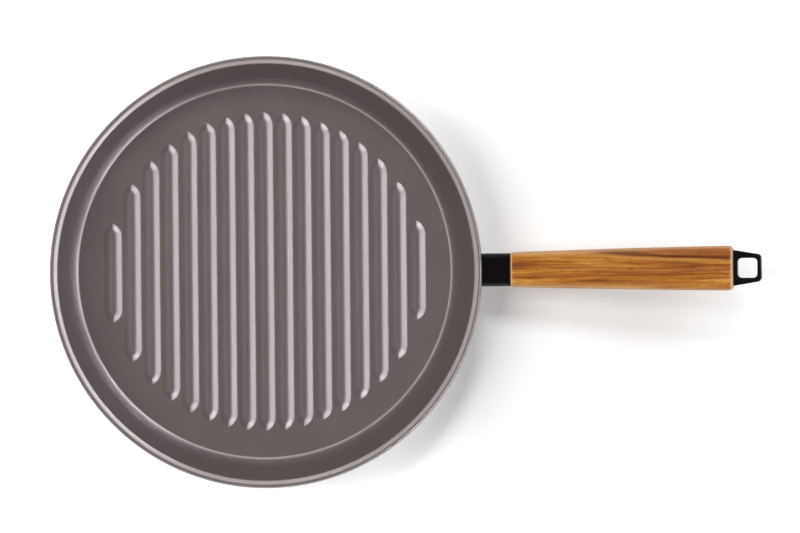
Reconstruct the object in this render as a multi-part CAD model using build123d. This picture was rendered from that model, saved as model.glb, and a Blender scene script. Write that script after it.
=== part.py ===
from build123d import *
import os
from math import acos, cos, degrees, radians, sin, sqrt, tan

# Grill pan, 28 cm: one ribbed casting and a wooden handle held by one long screw.
# Millimetres. Z is up, the pan rests on Z = 0 with its centre on the Z axis, and the handle points along +X.

# Overall sizes of the casting
rim_diameter = 280.0
pan_height = 45.0
floor_thickness = 5.0
wall_thickness = 3.4
wall_lean = 13.0
rim_land_width = 2.3
rim_land_angle = 30.0
rim_crest_radius = 2.0
rim_bevel_width = 0.9
rim_bevel_angle = 60.0
rim_edge_height = 1.8
rim_undercut_drop = 1.8
foot_bevel_width = 5.5
foot_bevel_angle = 51.0
base_bevel_width = 4.0
base_bevel_height = 3.0

# Underside: a flat ring that rests on the hob, and a turned recess inside it
rest_ring_width = 20.0
recess_depth = 0.6

# Grill ribs
rib_pitch = 12.44
rib_valley = 0.78
rib_crest_radius = 6.0
rib_flank_angle = 38.0
rib_nose_length = 9.0
rib_margin = 21.2

# Handle axis
handle_rise = 10.0
boss_face_inset = 1.4
handle_drop = 15.0

# Cast boss on the wall, with a tenon that keys the neck
boss_width = 21.4
boss_thickness = 14.5
boss_corner = 3.2
tenon_width = 14.0
tenon_thickness = 9.0
tenon_corner = 1.5
tenon_length = 8.0
tapped_depth_in_boss = 4.5

# Neck between the pan and the grip
neck_length = 21.1
neck_edge_chamfer = 0.5
tongue_width = 12.0
tongue_thickness = 9.0
tongue_corner = 1.5
tongue_length = 6.0

# Insulating gasket between neck and wood
gasket_thickness = 0.6
gasket_inset = 0.8

# Wooden grip
grip_length = 144.0
grip_neck_width = 22.5
grip_neck_thickness = 15.6
grip_end_width = 29.0
grip_end_thickness = 20.0
grip_rounding = 3.4
grip_neck_chamfer = 0.8

# Long screw and its washers
screw_diameter = 6.0
screw_end_chamfer = 0.8
screw_end_gap = 0.5
head_diameter = 10.0
head_height = 6.0
socket_across_flats = 5.0
socket_depth = 3.0
flat_washer_diameter = 12.0
flat_washer_thickness = 1.2
spring_washer_diameter = 11.0
spring_washer_thickness = 1.6
spring_washer_slit = 1.2
spring_washer_slant = 25.0
counterbore_diameter = 13.0
counterbore_depth = 22.0

# Hanging loop that closes the end of the grip
loop_length = 18.0
loop_base_width = 23.2
loop_base_thickness = 12.6
loop_end_width = 17.2
loop_end_thickness = 8.0
loop_corner_rounding = 2.4
loop_edge_bevel = 0.7
loop_base_bar = 2.7
loop_end_bar = 2.6
loop_hole_width = 12.8
loop_hole_corner = 2.6
spigot_length = 12.0
spigot_chamfer = 0.8

# Clearances between pieces, on each side
thread_clearance = 0.05
bore_clearance = 0.3
key_clearance = 0.15
spigot_clearance = 0.05
washer_clearance = 0.2

# How far a cutter or a root runs past the face that it meets
overlap = 1.0

# Worked out from the sizes above
rim_radius = rim_diameter / 2
rib_half_width = (rib_pitch - rib_valley) / 2
grip_start = neck_length + gasket_thickness
grip_end = grip_start + grip_length
head_seat = grip_end - counterbore_depth
screw_head_start = head_seat + flat_washer_thickness + spring_washer_thickness
screw_end = screw_end_gap - tapped_depth_in_boss


def handle_frame():
    """Middle of the boss face, the handle's direction and the direction square to it and up."""
    rise = radians(handle_rise)
    boss_face = Vector(rim_radius - boss_face_inset, 0, pan_height - handle_drop)
    return boss_face, Vector(cos(rise), 0, sin(rise)), Vector(-sin(rise), 0, cos(rise))


def handle_station(distance):
    """Plane square to the handle, this far from the boss face; local X is +Y and local Y is up."""
    boss_face, along, _ = handle_frame()
    return Plane(origin=boss_face + along * distance, x_dir=(0, 1, 0), z_dir=along)


def handle_plan():
    """Plane through the handle axis, looked at from above; local X runs along the handle."""
    boss_face, along, up = handle_frame()
    return Plane(origin=boss_face, x_dir=along, z_dir=up)


def handle_side():
    """Upright plane through the handle axis; local X runs along the handle and local Y is up."""
    boss_face, along, _ = handle_frame()
    return Plane(origin=boss_face, x_dir=along, z_dir=(0, -1, 0))


def bar(outline, start, end):
    """Straight bar of one outline between two distances along the handle axis."""
    return extrude(handle_station(start) * outline, end - start)


def round_bar(diameter, start, end):
    return bar(Circle(diameter / 2), start, end)


def recess_around(width, thickness, corner):
    """Outline of the recess that a rounded key of this outline slides into."""
    return RectangleRounded(width + 2 * key_clearance, thickness + 2 * key_clearance, corner)


def rim_points():
    """Inner end of the rim's sloping land, both ends of its round crest and the foot of its outer bevel."""
    land = radians(rim_land_angle)
    crest_drop = rim_crest_radius * (1 - cos(land))
    outer = rim_radius - rim_bevel_width
    inner = outer - 2 * rim_crest_radius * sin(land)
    return (
        (inner - rim_land_width, pan_height - crest_drop - rim_land_width * tan(land)),
        (inner, pan_height - crest_drop),
        (outer, pan_height - crest_drop),
        (rim_radius, pan_height - crest_drop - rim_bevel_width * tan(radians(rim_bevel_angle))),
    )


def wall_point(height, depth):
    """Point of the leaning wall at a height, this deep into it from its inner face."""
    top = rim_points()[0]
    lean = radians(wall_lean)
    return top[0] - (top[1] - height) * tan(lean) + depth / cos(lean), height


def shell_section():
    """Half section of the casting without ribs, boss or recess."""
    land_foot, crest_inner, crest_outer, bevel_foot = rim_points()
    edge_foot = (bevel_foot[0], bevel_foot[1] - rim_edge_height)
    foot_top = wall_point(floor_thickness + foot_bevel_width * tan(radians(foot_bevel_angle)), 0)
    base_top = wall_point(base_bevel_height, wall_thickness)
    crest = ThreePointArc(crest_inner, ((crest_inner[0] + crest_outer[0]) / 2, pan_height), crest_outer)
    return make_face(crest + Polyline(
        crest_outer,
        bevel_foot,
        edge_foot,
        wall_point(edge_foot[1] - rim_undercut_drop, wall_thickness),
        base_top,
        (base_top[0] - base_bevel_width, 0),
        (0, 0),
        (0, floor_thickness),
        (foot_top[0] - foot_bevel_width, floor_thickness),
        foot_top,
        land_foot,
        crest_inner,
    ))


def turned_recess():
    """What the lathe takes off the underside inside the ring that the pan rests on."""
    ring_outer = wall_point(base_bevel_height, wall_thickness)[0] - base_bevel_width
    return extrude(Circle(ring_outer - rest_ring_width), recess_depth)


def roof_half_section():
    """Half section of a rib with a sharp crest, its root sunk into the floor."""
    peak = rib_half_width * tan(radians(rib_flank_angle))
    return make_face(
        Polyline((0, peak), (rib_half_width, 0), (rib_half_width, -overlap), (0, -overlap), close=True)
    )


def roof_nose():
    """Quarter of a rib's pointed end: the half section swung about an axis beyond the crest."""
    swing_radius = (rib_nose_length**2 - rib_half_width**2) / (2 * rib_half_width)
    turn = degrees(acos(swing_radius / (swing_radius + rib_half_width)))
    swung = revolve(Plane.XZ * roof_half_section(), Axis((-swing_radius, 0, 0), (0, 0, 1)), turn)
    reach = rib_nose_length + swing_radius
    return swung & Box(reach, reach, reach, align=(Align.MIN, Align.MIN, Align.CENTER))


def crest_section():
    """Section of a bar whose top rounds the crest and whose sides follow the flanks outwards."""
    flank = radians(rib_flank_angle)
    arc_run = rib_crest_radius * sin(flank)
    arc_end = (rib_half_width - arc_run) * tan(flank)
    crest = arc_end + rib_crest_radius * (1 - cos(flank))
    side = 2 * rib_half_width
    eaves = (rib_half_width - side) * tan(flank)
    outline = ThreePointArc((-arc_run, arc_end), (0, crest), (arc_run, arc_end))
    outline += Polyline(
        (arc_run, arc_end), (side, eaves), (side, -side), (-side, -side), (-side, eaves), (-arc_run, arc_end)
    )
    return make_face(outline)


def rib(half_length):
    """One rib along Y with a pointed nose at both ends."""
    straight = half_length - rib_nose_length
    flank = extrude(Plane.XZ * roof_half_section(), straight, both=True)
    nose = Pos(0, straight, 0) * roof_nose()
    half = flank + nose + mirror(nose, Plane.XZ)
    roof = half + mirror(half, Plane.YZ)
    return roof & extrude(Plane.XZ * crest_section(), half_length + overlap, both=True)


def ribs():
    """Parallel ribs across the floor, their tips on one circle."""
    tip_radius = wall_point(floor_thickness, 0)[0] - rib_margin
    row_count = int(tip_radius / rib_pitch)
    rows = []
    for row in range(-row_count, row_count + 1):
        across = row * rib_pitch
        half_length = sqrt(tip_radius**2 - across**2)
        if half_length > 2 * rib_nose_length:
            rows.append(Pos(across, 0, floor_thickness) * rib(half_length))
    return rows


def handle_boss():
    """Cast boss from inside the wall to the neck, with the tenon on its face."""
    block = bar(RectangleRounded(boss_width, boss_thickness, boss_corner), -pan_height, 0)
    half_wall = wall_thickness / 2
    wall_line = [wall_point(height, half_wall) for height in (0, pan_height)]
    bowl = Polyline((0, 0), *wall_line, (0, pan_height), close=True)
    block -= revolve(Plane.XZ * make_face(bowl), Axis.Z)
    return block + bar(RectangleRounded(tenon_width, tenon_thickness, tenon_corner), -overlap, tenon_length)


def pan_body():
    shell = revolve(Plane.XZ * shell_section(), Axis.Z) - turned_recess()
    body = shell + handle_boss()
    body -= round_bar(screw_diameter + 2 * thread_clearance, -tapped_depth_in_boss, tenon_length + overlap)
    return body.fuse(*ribs())


def neck_sleeve():
    sleeve = bar(RectangleRounded(boss_width, boss_thickness, boss_corner), 0, neck_length)
    sleeve = chamfer(sleeve.faces().sort_by(Axis.X)[-1].edges(), neck_edge_chamfer)
    tongue = RectangleRounded(tongue_width, tongue_thickness, tongue_corner)
    sleeve += bar(tongue, neck_length - overlap, grip_start + tongue_length)
    socket = recess_around(tenon_width, tenon_thickness, tenon_corner)
    sleeve -= bar(socket, -overlap, tenon_length + key_clearance)
    return sleeve - round_bar(screw_diameter + 2 * bore_clearance, 0, grip_start + tongue_length + overlap)


def gasket():
    ring = bar(RectangleRounded(boss_width - 2 * gasket_inset, boss_thickness - 2 * gasket_inset,
                                boss_corner - gasket_inset), neck_length, grip_start)
    window = recess_around(tongue_width, tongue_thickness, tongue_corner)
    return ring - bar(window, neck_length, grip_start)


def tapered_bar(start, end, start_size, end_size):
    """Straight-sided bar along the handle that tapers from one (width, thickness) to another."""
    reach = max(*start_size, *end_size)
    outlines = []
    for near, far in zip(start_size, end_size):
        corners = [(start, -near / 2), (end, -far / 2), (end, far / 2), (start, near / 2)]
        outlines.append(make_face(Polyline(*corners, close=True)))
    return extrude(handle_plan() * outlines[0], reach, both=True) & extrude(
        handle_side() * outlines[1], reach, both=True
    )


def wooden_grip():
    grip = tapered_bar(
        grip_start, grip_end, (grip_neck_width, grip_neck_thickness), (grip_end_width, grip_end_thickness)
    )
    neck_face = grip.faces().sort_by(Axis.X)[0]
    grip = fillet(grip.edges() - neck_face.edges(), grip_rounding)
    grip = chamfer(grip.faces().sort_by(Axis.X)[0].edges(), grip_neck_chamfer)
    mortise = recess_around(tongue_width, tongue_thickness, tongue_corner)
    grip -= bar(mortise, grip_start - overlap, grip_start + tongue_length + key_clearance)
    grip -= round_bar(screw_diameter + 2 * bore_clearance, grip_start, grip_end)
    return grip - round_bar(counterbore_diameter, head_seat, grip_end + overlap)


def tie_screw():
    shank = round_bar(screw_diameter, screw_end, screw_head_start + overlap)
    tip = shank.edges().sort_by(Axis.X)[0]
    shank = chamfer(tip, screw_end_chamfer)
    head = round_bar(head_diameter, screw_head_start, screw_head_start + head_height)
    socket = RegularPolygon(socket_across_flats / 2, 6, major_radius=False)
    head_top = screw_head_start + head_height
    return shank + head - bar(socket, head_top - socket_depth, head_top + overlap)


def flat_washer():
    outer = round_bar(flat_washer_diameter, head_seat, head_seat + flat_washer_thickness)
    return outer - round_bar(screw_diameter + 2 * washer_clearance, head_seat - overlap, screw_head_start)


def spring_washer():
    """Split ring, its slit slanted as a lock washer's is."""
    start = head_seat + flat_washer_thickness
    ring = round_bar(spring_washer_diameter, start, screw_head_start)
    ring -= round_bar(screw_diameter + 2 * washer_clearance, start - overlap, screw_head_start + overlap)
    slit = Box(spring_washer_slit, spring_washer_diameter, 4 * spring_washer_thickness)
    slit = Pos(0, spring_washer_diameter / 2, 0) * (Rot(0, spring_washer_slant, 0) * slit)
    return ring - handle_station(start + spring_washer_thickness / 2) * slit


def end_loop():
    """Tapering frame round a rounded square hole, on a plug that fits the counterbore."""
    loop_end = grip_end + loop_length
    frame = tapered_bar(
        grip_end, loop_end, (loop_base_width, loop_base_thickness), (loop_end_width, loop_end_thickness)
    )
    upright = frame.faces().sort_by(Axis.X)[-1].edges().filter_by(Axis.Y, reverse=True)
    frame = fillet(upright, loop_corner_rounding)
    outer_edges = frame.edges() - frame.faces().sort_by(Axis.X)[0].edges()
    frame = chamfer(outer_edges.filter_by(lambda edge: edge.length > loop_edge_bevel), loop_edge_bevel)
    hole_length = loop_length - loop_base_bar - loop_end_bar
    hole_middle = grip_end + loop_base_bar + hole_length / 2
    hole = Pos(hole_middle, 0) * RectangleRounded(hole_length, loop_hole_width, loop_hole_corner)
    frame -= extrude(handle_plan() * hole, loop_base_thickness, both=True)
    plug_diameter = counterbore_diameter - 2 * spigot_clearance
    plug = round_bar(plug_diameter, grip_end - spigot_length, grip_end + overlap)
    return frame + chamfer(plug.edges().sort_by(Axis.X)[0], spigot_chamfer)


pieces = {
    "pan_body": pan_body(),
    "neck_sleeve": neck_sleeve(),
    "heat_gasket": gasket(),
    "wooden_grip": wooden_grip(),
    "tie_screw": tie_screw(),
    "flat_washer": flat_washer(),
    "spring_washer": spring_washer(),
    "end_loop": end_loop(),
}

os.makedirs("parts", exist_ok=True)
for name, piece in pieces.items():
    export_step(piece, f"parts/{name}.step")
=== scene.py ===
from math import acos, cos, pi, radians, sin, sqrt, tan

import bmesh
import bpy
from mathutils import Matrix, Vector


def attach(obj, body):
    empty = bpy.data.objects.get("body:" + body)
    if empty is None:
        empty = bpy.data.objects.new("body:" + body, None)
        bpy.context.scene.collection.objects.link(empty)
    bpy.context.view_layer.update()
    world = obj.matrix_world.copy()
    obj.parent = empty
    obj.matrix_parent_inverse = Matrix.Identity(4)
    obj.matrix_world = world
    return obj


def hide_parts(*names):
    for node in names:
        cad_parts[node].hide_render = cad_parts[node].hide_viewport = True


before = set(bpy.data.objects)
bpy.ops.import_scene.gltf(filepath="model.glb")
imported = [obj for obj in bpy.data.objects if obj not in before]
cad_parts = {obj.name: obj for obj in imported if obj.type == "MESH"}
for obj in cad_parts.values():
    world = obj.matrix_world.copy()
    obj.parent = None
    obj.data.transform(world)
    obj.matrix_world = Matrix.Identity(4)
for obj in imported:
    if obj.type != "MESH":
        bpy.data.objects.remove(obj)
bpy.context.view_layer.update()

# Grill pan seen from above: a coated casting with ribs, a black neck, a wooden grip and a loop.
# Sizes are in millimetres and become metres when a piece is finished. The pan rests on Z = 0.
mm = 0.001

# Casting
rim_radius = 140.0
pan_height = 45.0
floor_height = 5.0
wall_thickness = 3.4
wall_lean = radians(13.0)
rim_land_width = 2.3
rim_land_angle = radians(30.0)
rim_crest_radius = 2.0
rim_bevel_width = 0.9
rim_bevel_angle = radians(60.0)
rim_edge_height = 1.8
rim_undercut_drop = 1.8
land_foot_round = 1.1
crest_foot_round = 0.45
bevel_foot_round = 0.5
rim_edge_round = 0.7
undercut_round = 0.8
foot_arc_radius = 14.0
foot_arc_start = radians(36.0)
base_bevel_width = 4.0
base_bevel_height = 3.0
base_round = 1.6
rest_ring_width = 20.0
recess_depth = 0.6
recess_round = 0.2
groove_pitch = 3.0
groove_width = 1.2
groove_depth = 0.12

# Ribs
rib_pitch = 12.44
rib_valley = 0.78
rib_crest_radius = 6.0
rib_foot_radius = 1.0
rib_flank_angle = radians(34.0)
rib_nose_length = 9.0
rib_nose_steps = 10
rib_margin = 21.2
rib_half_width = (rib_pitch - rib_valley) / 2

# Handle axis, which climbs outwards from the face of the boss
handle_rise = radians(10.0)
boss_face = Vector((138.6, 0.0, 30.0))
handle_place = Matrix.Translation(boss_face) @ Matrix.Rotation(-handle_rise, 4, "Y")

# Boss and neck
neck_size = (21.4, 14.5)
neck_corner = 3.2
neck_length = 21.1
neck_end_round = 0.5
boss_reach = 24.0
tenon_size = (14.0, 9.0)
tenon_length = 8.0
tongue_size = (12.0, 9.0)
tongue_length = 6.0
key_corner = 1.5
key_clearance = 0.15
gasket_thickness = 0.6
tapped_diameter = 6.1
tapped_depth = 4.5
bore_diameter = 6.6

# Grip
grip_start = neck_length + gasket_thickness
grip_length = 144.0
grip_end = grip_start + grip_length
grip_neck_size = (22.5, 15.6)
grip_end_size = (29.0, 20.0)
grip_rounding = 3.4
grip_neck_chamfer = 0.8
grip_swell = 0.35
grip_stations = 12
counterbore_diameter = 13.0
counterbore_depth = 22.0

# Hanging loop
loop_length = 18.0
loop_base_size = (23.2, 12.6)
loop_end_size = (17.2, 8.0)
loop_corner = 2.4
loop_edge = 0.7
loop_base_bar = 2.7
loop_end_bar = 2.6
loop_hole_width = 12.8
loop_hole_corner = 2.6
plug_diameter = 12.9
plug_length = 12.0

# Fineness of the meshes
arc_steps = 6
small_round_steps = 2
loop_edge_steps = 3
crest_steps = 8
pan_steps = 256
rod_sides = 64

# Edges sharper than these stay sharp, or on the loop get rounded
sharp_angle = radians(32)
pan_sharp_angle = radians(25)
loop_sharp_angle = 1.0

# How far a tool reaches past the face it cuts or joins, and what counts as the same place
overlap = 1.0
tiny = 0.0001


def rounded_path(corners, steps=arc_steps):
    """Points on straight runs between corners (across, up, setback), with an arc over each setback."""
    points = []
    for index, (across, up, setback) in enumerate(corners):
        corner = Vector((across, up))
        if not setback:
            points.append(corner)
            continue
        back = (Vector(corners[index - 1][:2]) - corner).normalized()
        ahead = (Vector(corners[index + 1][:2]) - corner).normalized()
        pull = sin(back.angle(ahead) / 2)
        spots = (corner + back * setback, corner, corner + ahead * setback)
        for step in range(steps + 1):
            part = step / steps
            weights = ((1 - part) ** 2, 2 * pull * part * (1 - part), part**2)
            blend = sum((spot * weight for spot, weight in zip(spots, weights)), Vector((0, 0)))
            points.append(blend / sum(weights))
    return points


def draw_line(bm, points):
    """Adds an open line through (across, up) points in the XZ plane and returns its vertices and edges."""
    verts = [bm.verts.new((point[0], 0, point[1])) for point in points]
    edges = [bm.edges.new(pair) for pair in zip(verts, verts[1:])]
    return verts + edges


def all_of(bm):
    return bm.verts[:] + bm.edges[:] + bm.faces[:]


def bevel(bm, edges, width, segments=arc_steps):
    bmesh.ops.bevel(
        bm, geom=list(edges), offset=width, affect="EDGES", segments=segments, profile=0.5, material=-1
    )


def finish_piece(bm, name, place=Matrix.Identity(4)):
    """Turns a bmesh in millimetres into an object in metres, with its place in its mesh."""
    bmesh.ops.transform(bm, matrix=Matrix.Scale(mm, 4) @ place, verts=bm.verts)
    mesh = bpy.data.meshes.new(name)
    bm.to_mesh(mesh)
    bm.free()
    piece = bpy.data.objects.new(name, mesh)
    bpy.context.scene.collection.objects.link(piece)
    return piece


def combine(piece, tool, operation):
    """Joins a tool to a piece or cuts it out of the piece, and deletes the tool."""
    step = piece.modifiers.new("combine", "BOOLEAN")
    step.operation = operation
    step.object = tool
    step.solver = "EXACT"
    depsgraph = bpy.context.evaluated_depsgraph_get()
    mesh = bpy.data.meshes.new_from_object(piece.evaluated_get(depsgraph))
    piece.modifiers.clear()
    piece.data = mesh
    bpy.data.objects.remove(tool)


def smooth_piece(piece, angle=sharp_angle):
    """Shades a piece smooth up to an edge angle, so that its large flat faces stay flat."""
    piece.data.shade_smooth()
    piece.data.set_sharp_from_angle(angle=angle)
    weigh = piece.modifiers.new("even shading", "WEIGHTED_NORMAL")
    weigh.keep_sharp = True
    weigh.weight = 100


def tapered_block(start, end, start_size, end_size):
    """Bar along +X from start to end that tapers from one (width, thickness) to the other."""
    bm = bmesh.new()
    bmesh.ops.create_cube(bm, size=1)
    for vert in bm.verts:
        at_start = vert.co.x < 0
        width, thickness = start_size if at_start else end_size
        vert.co = (start if at_start else end, vert.co.y * width, vert.co.z * thickness)
    return bm


def long_edges(bm):
    """Edges that run mostly along X."""
    return [edge for edge in bm.edges if abs((edge.verts[0].co - edge.verts[1].co).normalized().x) > 0.9]


def face_at(bm, distance):
    """The face that lies square to X at this distance."""
    return next(face for face in bm.faces if all(abs(vert.co.x - distance) < tiny for vert in face.verts))


def rounded_bar(start, end, size, corner):
    bm = tapered_block(start, end, size, size)
    bevel(bm, long_edges(bm), corner)
    return bm


def rod(diameter, start, end):
    """Round bar along +X."""
    bm = bmesh.new()
    radius = diameter / 2
    bmesh.ops.create_cone(
        bm, cap_ends=True, segments=rod_sides, radius1=radius, radius2=radius, depth=end - start
    )
    turn = Matrix.Translation(((start + end) / 2, 0, 0)) @ Matrix.Rotation(pi / 2, 4, "Y")
    bmesh.ops.transform(bm, matrix=turn, verts=bm.verts)
    return bm


def handle_tool(bm):
    """A tool drawn along +X, put in its place on the handle's axis."""
    return finish_piece(bm, "tool", handle_place)


def grown(size, clearance):
    return tuple(side + 2 * clearance for side in size)


# Casting

def rim_corner(angle_in, angle_out, radius):
    """Setback of an arc of this radius between two directions."""
    return radius * tan(abs(angle_in - angle_out) / 2)


def land_foot():
    crest_drop = rim_crest_radius * (1 - cos(rim_land_angle))
    crest_inner = rim_radius - rim_bevel_width - 2 * rim_crest_radius * sin(rim_land_angle)
    return crest_inner - rim_land_width, pan_height - crest_drop - rim_land_width * tan(rim_land_angle)


def wall_point(height, depth):
    """Point of the leaning wall at a height, this deep into it from its inner face."""
    across, top = land_foot()
    return across - (top - height) * tan(wall_lean) + depth / cos(wall_lean), height


def pan_section():
    """Corners from the edge of the floor over the rim to the middle of the underside."""
    crest_drop = rim_crest_radius * (1 - cos(rim_land_angle))
    crest_run = rim_crest_radius * sin(rim_land_angle)
    crest_outer = rim_radius - rim_bevel_width
    crest_peak = pan_height - crest_drop + crest_run * tan(rim_land_angle)
    bevel_foot = pan_height - crest_drop - rim_bevel_width * tan(rim_bevel_angle)
    edge_foot = bevel_foot - rim_edge_height
    crest_setback = rim_corner(rim_land_angle, -rim_land_angle, rim_crest_radius)
    wall_tilt = pi / 2 - wall_lean
    foot_setback = rim_corner(wall_tilt, foot_arc_start, foot_arc_radius)
    foot_rise = foot_setback * (sin(foot_arc_start) + sin(wall_tilt))
    arc_top = wall_point(floor_height + foot_rise, 0)
    foot_corner = (
        arc_top[0] - foot_setback * cos(wall_tilt),
        arc_top[1] - foot_setback * sin(wall_tilt),
    )
    base_top = wall_point(base_bevel_height, wall_thickness)
    ring_outer = base_top[0] - base_bevel_width
    ring_inner = ring_outer - rest_ring_width
    corners = [
        (foot_corner[0] - foot_setback * cos(foot_arc_start), floor_height, 0),
        (*foot_corner, foot_setback),
        (*land_foot(), land_foot_round),
        (crest_outer - crest_run, crest_peak, crest_setback),
        (crest_outer, pan_height - crest_drop, crest_foot_round),
        (rim_radius, bevel_foot, bevel_foot_round),
        (rim_radius, edge_foot, rim_edge_round),
        (*wall_point(edge_foot - rim_undercut_drop, wall_thickness), undercut_round),
        (*base_top, base_round),
        (ring_outer, 0, base_round),
        (ring_inner, 0, recess_round),
        (ring_inner, recess_depth, recess_round),
    ]
    groove_count = int((ring_inner - groove_pitch) / groove_pitch)
    for groove in range(groove_count):
        middle = ring_inner - (groove + 1) * groove_pitch
        corners += [
            (middle + groove_width / 2, recess_depth, 0),
            (middle, recess_depth + groove_depth, 0),
            (middle - groove_width / 2, recess_depth, 0),
        ]
    corners.append((0, recess_depth, 0))
    return corners


def rib_half_section():
    """From the foot of a rib's flank up to its crest, as (distance from its middle, height)."""
    foot = rib_foot_radius * tan(rib_flank_angle / 2)
    peak = rib_half_width * tan(rib_flank_angle)
    crest = rib_crest_radius * tan(rib_flank_angle)
    corners = [
        (rib_half_width + 2 * foot, 0, 0),
        (rib_half_width, 0, foot),
        (0, peak, crest),
        (-rib_half_width, 0, 0),
    ]
    return [point for point in rounded_path(corners, crest_steps)[1:] if point[0] > -tiny]


def add_rib(bm, across, half_length):
    """Adds the skin of one rib along Y, open underneath, with a pointed nose at both ends."""
    rib = bmesh.new()
    section = rib_half_section()
    straight = half_length - rib_nose_length
    swing = (rib_nose_length**2 - rib_half_width**2) / (2 * rib_half_width)
    turn = acos(swing / (swing + section[0][0]))
    line = draw_line(rib, section)
    bmesh.ops.translate(rib, vec=(0, straight, 0), verts=rib.verts)
    flank = bmesh.ops.extrude_edge_only(rib, edges=rib.edges[:])["geom"]
    flank_verts = [item for item in flank if isinstance(item, bmesh.types.BMVert)]
    bmesh.ops.translate(rib, vec=(0, -straight, 0), verts=flank_verts)
    bmesh.ops.spin(
        rib, geom=line, cent=(-swing, straight, 0), axis=(0, 0, 1), angle=turn, steps=rib_nose_steps
    )
    bmesh.ops.bisect_plane(
        rib, geom=all_of(rib), dist=tiny, plane_co=(0, 0, 0), plane_no=(-1, 0, 0), clear_outer=True
    )
    bmesh.ops.mirror(rib, geom=all_of(rib), axis="X", merge_dist=tiny)
    bmesh.ops.mirror(rib, geom=all_of(rib), axis="Y", merge_dist=tiny)
    bmesh.ops.remove_doubles(rib, verts=rib.verts, dist=tiny)
    bmesh.ops.translate(rib, vec=(across, 0, floor_height), verts=rib.verts)
    skin = bpy.data.meshes.new("rib")
    rib.to_mesh(skin)
    rib.free()
    bm.from_mesh(skin)
    bpy.data.meshes.remove(skin)


def add_ribs(bm):
    """Parallel ribs across the floor, their tips on one circle."""
    tip_radius = wall_point(floor_height, 0)[0] - rib_margin
    row_count = int(tip_radius / rib_pitch)
    for row in range(-row_count, row_count + 1):
        across = row * rib_pitch
        half_length = sqrt(tip_radius**2 - across**2)
        if half_length > 2 * rib_nose_length:
            add_rib(bm, across, half_length)


def fill_floor(bm):
    """Closes the floor between its edge and the feet of the ribs, and keeps it flat in shading."""
    rim = [edge for edge in bm.edges if edge.is_boundary]
    bmesh.ops.triangle_fill(bm, use_beauty=True, use_dissolve=False, edges=rim, normal=(0, 0, 1))
    for edge in rim:
        edge.smooth = False


def pan_casting():
    bm = bmesh.new()
    line = draw_line(bm, rounded_path(pan_section()))
    bmesh.ops.spin(
        bm, geom=line, cent=(0, 0, 0), axis=(0, 0, 1), angle=2 * pi, steps=pan_steps, use_merge=True
    )
    bmesh.ops.remove_doubles(bm, verts=bm.verts, dist=tiny)
    add_ribs(bm)
    fill_floor(bm)
    bmesh.ops.recalc_face_normals(bm, faces=bm.faces)
    pan = finish_piece(bm, "pan")
    combine(pan, handle_boss(), "UNION")
    combine(pan, handle_tool(rod(tapped_diameter, -tapped_depth, tenon_length + overlap)), "DIFFERENCE")
    smooth_piece(pan, pan_sharp_angle)
    return pan


def handle_boss():
    """Cast boss from the middle of the wall to the neck, with the tenon that keys the neck."""
    boss = handle_tool(rounded_bar(-boss_reach, 0, neck_size, neck_corner))
    bowl = bmesh.new()
    low, high = (wall_point(height, wall_thickness / 2)[0] for height in (0, pan_height))
    bmesh.ops.create_cone(
        bowl, cap_ends=True, segments=pan_steps, radius1=low, radius2=high, depth=pan_height
    )
    bmesh.ops.translate(bowl, vec=(0, 0, pan_height / 2), verts=bowl.verts)
    combine(boss, finish_piece(bowl, "bowl"), "DIFFERENCE")
    combine(boss, handle_tool(rounded_bar(-overlap, tenon_length, tenon_size, key_corner)), "UNION")
    return boss


# Handle

def neck():
    bm = rounded_bar(0, neck_length, neck_size, neck_corner)
    bevel(bm, face_at(bm, neck_length).edges, neck_end_round, small_round_steps)
    piece = finish_piece(bm, "neck", handle_place)
    tongue = rounded_bar(neck_length - overlap, grip_start + tongue_length, tongue_size, key_corner)
    combine(piece, handle_tool(tongue), "UNION")
    socket_size = grown(tenon_size, key_clearance)
    socket = rounded_bar(-overlap, tenon_length + key_clearance, socket_size, key_corner)
    combine(piece, handle_tool(socket), "DIFFERENCE")
    combine(piece, handle_tool(rod(bore_diameter, 0, grip_start + tongue_length + overlap)), "DIFFERENCE")
    smooth_piece(piece)
    return piece


def grip():
    """Tapering bar with softly swollen sides, rounded edges and a rounded far end."""
    bm = tapered_block(grip_start, grip_end, grip_neck_size, grip_end_size)
    bmesh.ops.subdivide_edges(bm, edges=long_edges(bm), cuts=grip_stations, use_grid_fill=True)
    for vert in bm.verts:
        part = (vert.co.x - grip_start) / grip_length
        swell = 4 * part * (1 - part) * grip_swell
        vert.co.y += swell if vert.co.y > 0 else -swell
        vert.co.z += swell / 2 if vert.co.z > 0 else -swell / 2
    bevel(bm, long_edges(bm) + list(face_at(bm, grip_end).edges), grip_rounding)
    bevel(bm, face_at(bm, grip_start).edges, grip_neck_chamfer, small_round_steps)
    piece = finish_piece(bm, "grip", handle_place)
    mortise_end = grip_start + tongue_length + key_clearance
    mortise_size = grown(tongue_size, key_clearance)
    mortise = rounded_bar(grip_start - overlap, mortise_end, mortise_size, key_corner)
    combine(piece, handle_tool(mortise), "DIFFERENCE")
    combine(piece, handle_tool(rod(bore_diameter, grip_start, grip_end)), "DIFFERENCE")
    counterbore = rod(counterbore_diameter, grip_end - counterbore_depth, grip_end + overlap)
    combine(piece, handle_tool(counterbore), "DIFFERENCE")
    smooth_piece(piece)
    return piece


def loop_hole():
    """Rounded square bar that cuts the hole, square to the handle."""
    length = loop_length - loop_base_bar - loop_end_bar
    hole = rounded_bar(-loop_hole_width, loop_hole_width, (loop_hole_width, length), loop_hole_corner)
    middle = grip_end + loop_base_bar + length / 2
    turn = Matrix.Translation((middle, 0, 0)) @ Matrix.Rotation(pi / 2, 4, "Y")
    bmesh.ops.transform(hole, matrix=turn, verts=hole.verts)
    return hole


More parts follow.
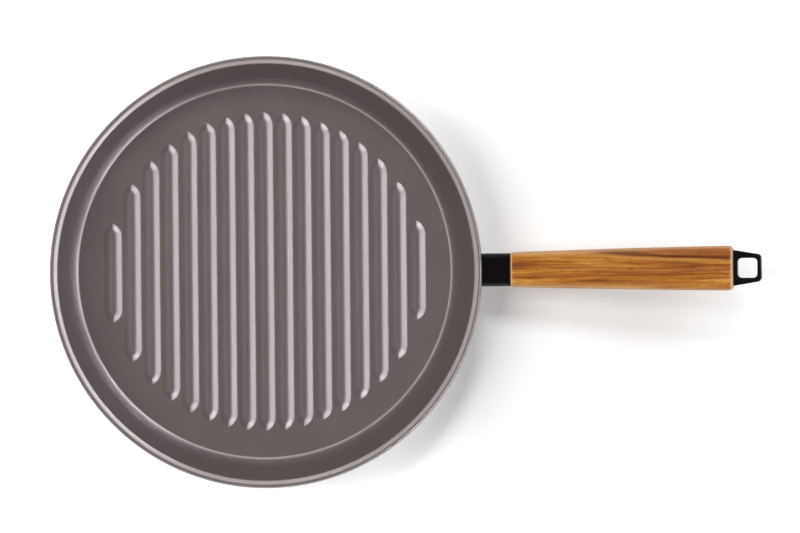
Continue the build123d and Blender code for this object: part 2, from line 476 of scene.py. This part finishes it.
def hanging_loop():
    """Tapering frame round a rounded square hole, on a plug that fits the grip's counterbore."""
    bm = tapered_block(grip_end, grip_end + loop_length, loop_base_size, loop_end_size)
    far_face = face_at(bm, grip_end + loop_length)
    upright = [edge for edge in far_face.edges if abs(edge.verts[0].co.y - edge.verts[1].co.y) < tiny]
    bevel(bm, upright, loop_corner)
    near_edges = set(face_at(bm, grip_end).edges)
    sharp = [edge for edge in bm.edges if edge.calc_face_angle(0) > loop_sharp_angle]
    bevel(bm, [edge for edge in sharp if edge not in near_edges], loop_edge, loop_edge_steps)
    piece = finish_piece(bm, "hanging_loop", handle_place)
    combine(piece, handle_tool(loop_hole()), "DIFFERENCE")
    combine(piece, handle_tool(rod(plug_diameter, grip_end - plug_length, grip_end + overlap)), "UNION")
    smooth_piece(piece)
    return piece


# Node helpers

def add_node(tree, kind, inputs=None, **settings):
    """Adds a node, sets its properties, and fills its inputs with values or links from sockets."""
    node = tree.nodes.new(kind)
    for name, value in settings.items():
        setattr(node, name, value)
    for name, value in (inputs or {}).items():
        if isinstance(value, bpy.types.NodeSocket):
            tree.links.new(value, node.inputs[name])
        else:
            node.inputs[name].default_value = value
    return node


def mix_colours(tree, amount, first, second):
    """Blends two colours; inputs 6 and 7 and output 2 of the mix node are its colour sockets."""
    inputs = {0: amount, 6: first, 7: second}
    return add_node(tree, "ShaderNodeMix", inputs, data_type="RGBA").outputs[2]


def calculate(tree, operation, first, second=0.0, third=0.0):
    inputs = {0: first, 1: second, 2: third}
    return add_node(tree, "ShaderNodeMath", inputs, operation=operation).outputs[0]


def vector_length(tree, vector):
    return add_node(tree, "ShaderNodeVectorMath", {0: vector}, operation="LENGTH").outputs["Value"]


def map_range(tree, value, low, high, new_low=0.0, new_high=1.0):
    inputs = {"Value": value, "From Min": low, "From Max": high, "To Min": new_low, "To Max": new_high}
    return add_node(tree, "ShaderNodeMapRange", inputs, interpolation_type="SMOOTHSTEP").outputs[0]


def noise(tree, vector, scale, detail=2.0, roughness=0.5):
    inputs = {"Vector": vector, "Scale": scale, "Detail": detail, "Roughness": roughness}
    return add_node(tree, "ShaderNodeTexNoise", inputs).outputs["Fac"]


def colour_ramp(tree, value, stops):
    """Blends between (position, colour) stops."""
    ramp = add_node(tree, "ShaderNodeValToRGB", {"Fac": value})
    elements = ramp.color_ramp.elements
    while len(elements) < len(stops):
        elements.new(0.5)
    for element, (position, shade) in zip(elements, stops):
        element.position = position
        element.color = shade
    return ramp.outputs[0]


def near(tree, value, target, core, reach, amount=1.0):
    """The amount where a value is within the core of its target, fading to 0 at the reach."""
    gap = calculate(tree, "ABSOLUTE", calculate(tree, "SUBTRACT", value, target))
    return map_range(tree, gap, core, reach, amount, 0.0)


def object_place(tree):
    return add_node(tree, "ShaderNodeTexCoord").outputs["Object"]


def bump(tree, height, depth, strength=1.0):
    """Bump of this depth in millimetres."""
    inputs = {"Height": height, "Distance": depth * mm, "Strength": strength}
    return add_node(tree, "ShaderNodeBump", inputs).outputs[0]


def connect_shader(tree, shader, shade, roughness, normal):
    for socket, source in (("Base Color", shade), ("Roughness", roughness), ("Normal", normal)):
        tree.links.new(source, shader.inputs[socket])


def new_group(name, sockets_in, sockets_out):
    """A shader node group with named sockets; returns the tree, its input node and its output node."""
    tree = bpy.data.node_groups.new(name, "ShaderNodeTree")
    for socket_name, kind, value in sockets_in:
        socket = tree.interface.new_socket(socket_name, in_out="INPUT", socket_type=kind)
        socket.default_value = value
    for socket_name, kind in sockets_out:
        tree.interface.new_socket(socket_name, in_out="OUTPUT", socket_type=kind)
    return tree, tree.nodes.new("NodeGroupInput"), tree.nodes.new("NodeGroupOutput")


def new_material(name, **shader_values):
    """A material with one shader; values that are the same all over go on the shader's own sockets."""
    material = bpy.data.materials.new(name)
    material.use_nodes = True
    tree = material.node_tree
    shader = tree.nodes["Principled BSDF"]
    for socket, value in shader_values.items():
        shader.inputs[socket.replace("_", " ")].default_value = value
    return material, tree, shader


def colour(red, green, blue):
    """A colour given as it shows on screen, 0 to 255, in the linear values that shaders take."""
    shares = (value / 255 for value in (red, green, blue))
    return (*(s / 12.92 if s <= 0.04045 else ((s + 0.055) / 1.055) ** 2.4 for s in shares), 1.0)


# Coating and paint

cloud_scale = 26.0
grain_scale = 420.0
grain_share = 0.35
roughness_spread = 0.12

# Bands of painted highlight on the foot line and the rim's land: distances from the axis at which each
# rises, is full, fades and ends, and the heights between which it sets in, in millimetres
foot_highlight_band = (121.6, 122.1, 122.5, 123.8)
foot_heights = (4.5, 4.9)
land_highlight_band = (134.9, 135.6, 137.0, 138.2)
land_heights = (42.5, 43.2)
# Colour of the painted highlight on the foot line and the rim's land
painted_highlight_colour = colour(154, 144, 142)


def film_group():
    """Sprayed coating or paint: cloudy shade, faint orange peel and a spread of gloss."""
    tree, given, out = new_group(
        "sprayed_film",
        [
            ("Colour", "NodeSocketColor", (0.5, 0.5, 0.5, 1.0)),
            ("Cloud Amount", "NodeSocketFloat", 0.1),
            ("Roughness", "NodeSocketFloat", 0.4),
            ("Peel Size", "NodeSocketFloat", 900.0),
        ],
        [("Colour", "NodeSocketColor"), ("Roughness", "NodeSocketFloat"), ("Height", "NodeSocketFloat")],
    )
    place = object_place(tree)
    cloud = noise(tree, place, cloud_scale, detail=3.0)
    grain = noise(tree, place, grain_scale)
    peel = noise(tree, place, given.outputs["Peel Size"], roughness=0.55)
    patch = calculate(tree, "MULTIPLY_ADD", grain, grain_share, cloud)
    shade = calculate(tree, "SUBTRACT", patch, (1 + grain_share) / 2)
    amount = calculate(tree, "MULTIPLY", shade, given.outputs["Cloud Amount"])
    tint = {0: given.outputs["Colour"], 1: calculate(tree, "ADD", amount, 1.0)}
    tinted = add_node(tree, "ShaderNodeVectorMath", tint, operation="MULTIPLY").outputs[0]
    rough = calculate(tree, "MULTIPLY_ADD", shade, roughness_spread, given.outputs["Roughness"])
    for socket, source in (("Colour", tinted), ("Roughness", rough), ("Height", peel)):
        tree.links.new(source, out.inputs[socket])
    return tree


def film_material(name, group, shade, cloud, roughness, peel_size, peel_depth, **shader_values):
    material, tree, shader = new_material(name, **shader_values)
    values = {"Colour": shade, "Cloud Amount": cloud, "Roughness": roughness, "Peel Size": peel_size}
    film = add_node(tree, "ShaderNodeGroup", node_tree=group)
    for socket, value in values.items():
        film.inputs[socket].default_value = value
    peel = bump(tree, film.outputs["Height"], peel_depth)
    connect_shader(tree, shader, film.outputs["Colour"], film.outputs["Roughness"], peel)
    return material


def painted_band(tree, radius, height, distances, heights):
    """1 on a band of painted highlight on the casting and 0 elsewhere."""
    start, full, fade, end = distances
    ring = calculate(
        tree, "MULTIPLY",
        map_range(tree, radius, start, full),
        map_range(tree, radius, fade, end, 1.0, 0.0),
    )
    return calculate(tree, "MULTIPLY", ring, map_range(tree, height, *heights))


def paint_rim_highlights(material):
    """Paints a lighter film colour on the foot line and the rim's land, as a painted highlight along these
    edges.
    """
    tree = material.node_tree
    shader = tree.nodes["Principled BSDF"]
    film_colour = shader.inputs["Base Color"].links[0].from_socket
    place = object_place(tree)
    flat = add_node(tree, "ShaderNodeVectorMath", {0: place, 1: (1, 1, 0)}, operation="MULTIPLY")
    distance = vector_length(tree, flat.outputs[0])
    radius = calculate(tree, "DIVIDE", distance, mm)
    axes = add_node(tree, "ShaderNodeSeparateXYZ", {0: place})
    height = calculate(tree, "DIVIDE", axes.outputs["Z"], mm)
    foot = painted_band(tree, radius, height, foot_highlight_band, foot_heights)
    land = painted_band(tree, radius, height, land_highlight_band, land_heights)
    both = calculate(tree, "MAXIMUM", foot, land)
    tree.links.new(mix_colours(tree, both, film_colour, painted_highlight_colour), shader.inputs["Base Color"])


# Wood. Lengths run along the handle's axis from the boss, and widths across it, in millimetres.

# Bands of light and dark: (level of the grain, colour)
wood_ground = (
    (0.37, colour(104, 47, 11)),
    (0.45, colour(146, 80, 19)),
    (0.52, colour(171, 106, 28)),
    (0.61, colour(197, 145, 62)),
)
reddish_wood = colour(145, 72, 30)
honey_wood = colour(199, 147, 70)
dusty_wood = colour(162, 110, 64)
# Pale colour of the painted highlight on the grip's edges and ends
edge_highlight_wood = colour(220, 182, 138)
vein_colour = colour(84, 32, 9)
second_vein_colour = colour(100, 45, 18)
pore_colour = colour(87, 44, 16)

grain_stretch = 0.045
pore_stretch = 0.13
band_scale, band_share = 210.0, 0.55
streak_scale, streak_share = 700.0, 0.45
pore_scale = 1500.0
sway_scale, sway_width = 260.0, 2.2
bloom_scale = 120.0

# The main vein along its length, each (from, to, value at first, value in the end): how far it lies
# across, how much lower its end bends, how it sets in, its half width and its strength
vein_slope = (66.0, 130.0, 12.4, 8.2)
vein_bend = (126.0, 170.0, 0.0, 1.6)
vein_onset = (72.0, 84.0, 0.0, 1.0)
vein_narrowing = (98.0, 115.0, 3.0, 1.4)
vein_fading = (124.0, 150.0, 0.95, 0.6)
vein_core = 0.3

# Bands beside it: (distance from the main vein, half width of the core, half width in all, strength)
second_vein = (3.4, 0.1, 0.8, 0.5)
pale_band = (-2.8, 0.5, 1.9, 0.5)

# Each (from, to, value at first, value in the end): redder wood by the distance above the vein, and
# paler wood as a painted highlight by the distances inwards from the grip's side, past its near end and
# past its far end
reddish_onset = (0.0, 1.2, 0.0, 0.3)
side_highlight = (0.2, 2.6, 0.42, 0.0)
neck_end_highlight = (0.3, 1.4, 0.8, 0.0)
far_end_highlight = (-2.2, -0.6, 0.0, 0.85)

# The same by the level of a noise: dusty bloom, dark pores, and roughness
bloom_onset = (0.5, 0.68, 0.0, 0.3)
pore_onset = (0.34, 0.43, 0.5, 0.0)
wood_roughness = (0.3, 0.7, 0.52, 0.38)

wood_relief = 0.12
wood_relief_strength = 0.5
pore_relief, streak_relief = 0.7, 0.3

# Steel
dull_steel = colour(168, 168, 166)
bright_steel = colour(196, 197, 200)
steel_patch_scale = 300.0
steel_mark_scale = 4000.0
steel_mark_depth = 0.01
steel_roughness = (0.3, 0.7, 0.26, 0.42)


def grain(tree, place, stretch, scale, detail, roughness=0.5):
    """Noise drawn out along the handle."""
    drawn = add_node(tree, "ShaderNodeMapping", {"Vector": place, "Scale": (stretch, 1.0, 1.0)})
    return noise(tree, drawn.outputs[0], scale, detail, roughness)


def beside_vein(tree, wander, vein_line, band):
    offset, core, reach, strength = band
    return near(tree, wander, calculate(tree, "ADD", vein_line, offset), core, reach, strength)


def add_veins(tree, ground, length, wander):
    """Two dark veins near the grip's upper edge, redder wood above them and a pale band below."""
    slope = map_range(tree, length, *vein_slope)
    line = calculate(tree, "SUBTRACT", slope, map_range(tree, length, *vein_bend))
    above = map_range(tree, calculate(tree, "SUBTRACT", wander, line), *reddish_onset)
    reddish = mix_colours(tree, above, ground, reddish_wood)
    honey = mix_colours(tree, beside_vein(tree, wander, line, pale_band), reddish, honey_wood)
    onset = map_range(tree, length, *vein_onset)
    depth = map_range(tree, length, *vein_fading)
    body = near(tree, wander, line, vein_core, map_range(tree, length, *vein_narrowing))
    main_amount = calculate(tree, "MULTIPLY", calculate(tree, "MULTIPLY", body, onset), depth)
    veined = mix_colours(tree, main_amount, honey, vein_colour)
    second_amount = calculate(tree, "MULTIPLY", beside_vein(tree, wander, line, second_vein), onset)
    return mix_colours(tree, second_amount, veined, second_vein_colour)


def paint_grip_highlights(tree, wood, length, across):
    """Painted highlight: paler wood along the rounded edges and at both ends of the grip."""
    near_half, far_half = grip_neck_size[0] / 2, grip_end_size[0] / 2
    half_width = map_range(tree, length, grip_start, grip_end, near_half, far_half)
    inwards = calculate(tree, "SUBTRACT", half_width, calculate(tree, "ABSOLUTE", across))
    edge = map_range(tree, inwards, *side_highlight)
    neck_end = map_range(tree, calculate(tree, "SUBTRACT", length, grip_start), *neck_end_highlight)
    far_end = map_range(tree, calculate(tree, "SUBTRACT", length, grip_end), *far_end_highlight)
    pale = calculate(tree, "MAXIMUM", calculate(tree, "MAXIMUM", edge, neck_end), far_end)
    return mix_colours(tree, pale, wood, edge_highlight_wood)


def wood_material():
    """Oiled hardwood: honey and brown bands, two dark veins, short pores, and paler edges that are a
    painted highlight.
    """
    material, tree, shader = new_material("oiled_wood", Specular_IOR_Level=0.3)
    on_handle = {
        "Vector": object_place(tree),
        "Location": boss_face * mm,
        "Rotation": (0, -handle_rise, 0),
    }
    place = add_node(tree, "ShaderNodeMapping", on_handle, vector_type="TEXTURE").outputs[0]
    axes = add_node(tree, "ShaderNodeSeparateXYZ", {0: place})
    length, across = (calculate(tree, "DIVIDE", axes.outputs[axis], mm) for axis in "XY")

    bands = grain(tree, place, grain_stretch, band_scale, detail=3.0, roughness=0.55)
    streaks = grain(tree, place, grain_stretch, streak_scale, detail=3.0, roughness=0.6)
    pores = grain(tree, place, pore_stretch, pore_scale, detail=2.0, roughness=0.6)
    swing = grain(tree, place, grain_stretch, sway_scale, detail=2.0)
    sway = calculate(tree, "SUBTRACT", swing, 0.5)
    wander = calculate(tree, "MULTIPLY_ADD", sway, sway_width, across)
    wide = calculate(tree, "MULTIPLY", bands, band_share)
    ground = colour_ramp(tree, calculate(tree, "MULTIPLY_ADD", streaks, streak_share, wide), wood_ground)
    veined = add_veins(tree, ground, length, wander)
    bloom = grain(tree, place, grain_stretch, bloom_scale, detail=1.0)
    dusty = mix_colours(tree, map_range(tree, bloom, *bloom_onset), veined, dusty_wood)
    pored = mix_colours(tree, map_range(tree, pores, *pore_onset), dusty, pore_colour)
    # Painted highlight on the grip's edges and ends
    highlighted = paint_grip_highlights(tree, pored, length, across)

    ridges = calculate(tree, "MULTIPLY", streaks, streak_relief)
    height = calculate(tree, "MULTIPLY_ADD", pores, pore_relief, ridges)
    relief = bump(tree, height, wood_relief, wood_relief_strength)
    connect_shader(tree, shader, highlighted, map_range(tree, streaks, *wood_roughness), relief)
    return material


def steel_material():
    """Zinc-plated steel with fine turning marks and dull patches."""
    material, tree, shader = new_material("plain_steel", Metallic=1.0)
    place = object_place(tree)
    patches = noise(tree, place, steel_patch_scale, detail=3.0)
    marks = noise(tree, place, steel_mark_scale, detail=1.0)
    shade = mix_colours(tree, patches, dull_steel, bright_steel)
    roughness = map_range(tree, patches, *steel_roughness)
    connect_shader(tree, shader, shade, roughness, bump(tree, marks, steel_mark_depth))
    return material


def dress(piece, material):
    piece.data.materials.clear()
    piece.data.materials.append(material)


# Surroundings, in metres

floor_half_size = 2500
floor_shade = (0.9, 0.9, 0.9, 1)
white = (1, 1, 1, 1)

# Glow that brings the floor up to white for the rays that show the background: where it is measured,
# from, to, glow at first, glow in the end
floor_base_glow = 0.02
floor_glows = (
    ("along the handle", 0.06, 0.15, 0.42, 0.0),
    ("along the handle", 0.24, 0.34, 0.0, 0.3),
    ("beside the handle", 0.13, 0.22, 0.0, 0.25),
    ("away from the pan", 0.3, 1.5, 0.0, 0.8),
)

# The room's light, and the heights of a mirrored ray between which its white horizon ends
room_light = 0.13
horizon_heights = (0.1, 0.3)

glare_tint = (1.0, 0.93, 0.99)
plain_tint = (1.0, 1.0, 1.0)

# Lamps: name, azimuth, zenith, distance, size, and the share of a plain white light that it throws.
# Cards leave only glare, keys light and cast shadows, and fills only light.
cards = (
    ("right_card", 0, 66, 3.0, (1.3, 2.4), 0.59),
    ("right_upper_card", 40, 68, 2.0, (1.2, 0.7), 0.74),
    ("right_lower_card", -40, 68, 2.0, (1.2, 0.7), 0.74),
    ("upper_card", 100, 60, 1.6, (0.7, 0.5), 0.10),
    ("lower_card", 260, 60, 1.6, (0.7, 0.5), 0.11),
)
keys = (
    ("left_key", 174, 34, 2.0, (0.9, 1.2), 0.68),
    ("upper_key", 92, 31, 2.0, (0.45, 0.45), 0.35),
)
fills = (
    ("right_fill", 0, 62, 3.5, (1.8, 1.6), 0.38),
    ("lower_fill", 270, 60, 3.5, (1.6, 1.4), 0.18),
)

camera_spot = Vector((-0.058, 0.032, 3.045))
camera_target = Vector((0.0302, 0.0034, 0.045))
camera_roll = radians(-0.55)
camera_lens = 208.7
camera_shift = 0.109
sensor_width = 36.0
clip_distance = 20


def shows_background(tree):
    """1 for the rays that show the background: straight from the camera, and mirrored or through glass."""
    ray = tree.nodes.new("ShaderNodeLightPath")
    glossy, through = ray.outputs["Is Glossy Ray"], ray.outputs["Is Transmission Ray"]
    mirrored = calculate(tree, "MAXIMUM", glossy, through)
    return ray.outputs["Is Camera Ray"], mirrored


def studio_floor():
    """Plain pale floor that shows white where no shadow falls on it."""
    bm = bmesh.new()
    bmesh.ops.create_grid(bm, x_segments=1, y_segments=1, size=floor_half_size)
    floor = finish_piece(bm, "studio_floor")
    material, tree, shader = new_material(
        "pale_floor", Base_Color=floor_shade, Roughness=0.9, Specular_IOR_Level=0.0
    )
    place = object_place(tree)
    axes = add_node(tree, "ShaderNodeSeparateXYZ", {0: place})
    measured = {
        "along the handle": axes.outputs["X"],
        "beside the handle": calculate(tree, "ABSOLUTE", axes.outputs["Y"]),
        "away from the pan": vector_length(tree, place),
    }
    level = floor_base_glow
    for where, *span in floor_glows:
        level = calculate(tree, "ADD", level, map_range(tree, measured[where], *span))
    glow = add_node(tree, "ShaderNodeEmission", {"Color": white, "Strength": level}).outputs[0]
    lit = shader.outputs[0]
    glowing = add_node(tree, "ShaderNodeAddShader", {0: lit, 1: glow}).outputs[0]
    shown = calculate(tree, "MAXIMUM", *shows_background(tree))
    seen = add_node(tree, "ShaderNodeMixShader", {0: shown, 1: lit, 2: glowing}).outputs[0]
    tree.links.new(seen, tree.nodes["Material Output"].inputs["Surface"])
    dress(floor, material)


def studio_world():
    """Dim room with a white horizon that the camera and glossy pieces see, and a dark ceiling."""
    world = bpy.data.worlds.new("studio")
    bpy.context.scene.world = world
    world.use_nodes = True
    tree = world.node_tree
    background = tree.nodes["Background"]
    background.inputs["Color"].default_value = white
    direction = add_node(tree, "ShaderNodeTexCoord").outputs["Generated"]
    height = add_node(tree, "ShaderNodeSeparateXYZ", {0: direction}).outputs["Z"]
    straight, mirrored = shows_background(tree)
    low = map_range(tree, height, *horizon_heights, 1.0, 0.0)
    shown = calculate(tree, "MAXIMUM", straight, calculate(tree, "MULTIPLY", mirrored, low))
    tree.links.new(map_range(tree, shown, 0, 1, room_light, 1.0), background.inputs["Strength"])


def lamp_spot(azimuth, zenith, distance):
    """Place of a lamp round the pan: azimuth from +X towards +Y, zenith from straight up."""
    across, up = distance * sin(radians(zenith)), distance * cos(radians(zenith))
    return Vector((across * cos(radians(azimuth)), across * sin(radians(azimuth)), up))


def softbox(name, spot, size, power, glare, shadow):
    """Rectangular soft lamp that faces the pan and leaves only glare, or is polarised and leaves none."""
    lamp = bpy.data.lights.new(name, "AREA")
    lamp.shape = "RECTANGLE"
    lamp.size, lamp.size_y = size
    lamp.energy = power
    lamp.color = glare_tint if glare else plain_tint
    lamp.use_shadow = shadow
    lamp.cycles.use_multiple_importance_sampling = shadow
    holder = bpy.data.objects.new(name, lamp)
    holder.location = spot
    holder.rotation_mode = "QUATERNION"
    holder.rotation_quaternion = (spot * -1).to_track_quat("-Z", "Y")
    holder.visible_glossy = glare
    holder.visible_diffuse = not glare
    bpy.context.scene.collection.objects.link(holder)


def lights():
    for lamps, glare, shadow in ((cards, True, False), (keys, False, True), (fills, False, False)):
        for name, azimuth, zenith, distance, size, share in lamps:
            power = share * (pi * distance) ** 2
            softbox(name, lamp_spot(azimuth, zenith, distance), size, power, glare, shadow)


def camera():
    """Long lens about 3 m above the pan, a little to its left, with a slight roll and shift."""
    lens = bpy.data.cameras.new("camera")
    lens.sensor_width = sensor_width
    lens.lens = camera_lens
    lens.clip_end = clip_distance
    lens.shift_x = camera_shift
    holder = bpy.data.objects.new("camera", lens)
    look = (camera_target - camera_spot).normalized()
    right = Vector((cos(camera_roll), sin(camera_roll), 0))
    right = (right - look * right.dot(look)).normalized()
    turn = Matrix((right, right.cross(look), look * -1)).transposed()
    holder.matrix_world = Matrix.Translation(camera_spot) @ turn.to_4x4()
    bpy.context.scene.collection.objects.link(holder)
    bpy.context.scene.camera = holder


film = film_group()
coated_casting = film_material(
    "coated_casting", film, colour(91, 82, 81),
    cloud=0.16, roughness=0.36, peel_size=1400.0, peel_depth=0.02, IOR=1.6, Specular_IOR_Level=1.0,
)
# Painted highlight on the foot line and the rim's land
paint_rim_highlights(coated_casting)
black_metal = film_material(
    "black_metal", film, colour(7, 4, 5),
    cloud=0.3, roughness=0.36, peel_size=2600.0, peel_depth=0.015, Specular_IOR_Level=0.22,
)
gasket_fibre = film_material(
    "gasket_fibre", film, colour(70, 62, 56), cloud=0.6, roughness=0.85, peel_size=3800.0, peel_depth=0.06
)
oiled_wood = wood_material()
plain_steel = steel_material()

for piece, node, slot, material in (
    (pan_casting(), "pan_body", "coated_casting", coated_casting),
    (neck(), "neck_sleeve", "black_metal", black_metal),
    (grip(), "wooden_grip", "oiled_wood", oiled_wood),
    (hanging_loop(), "end_loop", "black_metal", black_metal),
):
    dress(piece, material)
    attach(piece, "root")
    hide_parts(node)

for node in ("tie_screw", "flat_washer", "spring_washer"):
    dress(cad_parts[node], plain_steel)
dress(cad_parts["heat_gasket"], gasket_fibre)

studio_floor()
studio_world()
lights()
camera()
bpy.context.scene.view_settings.view_transform = "Standard"
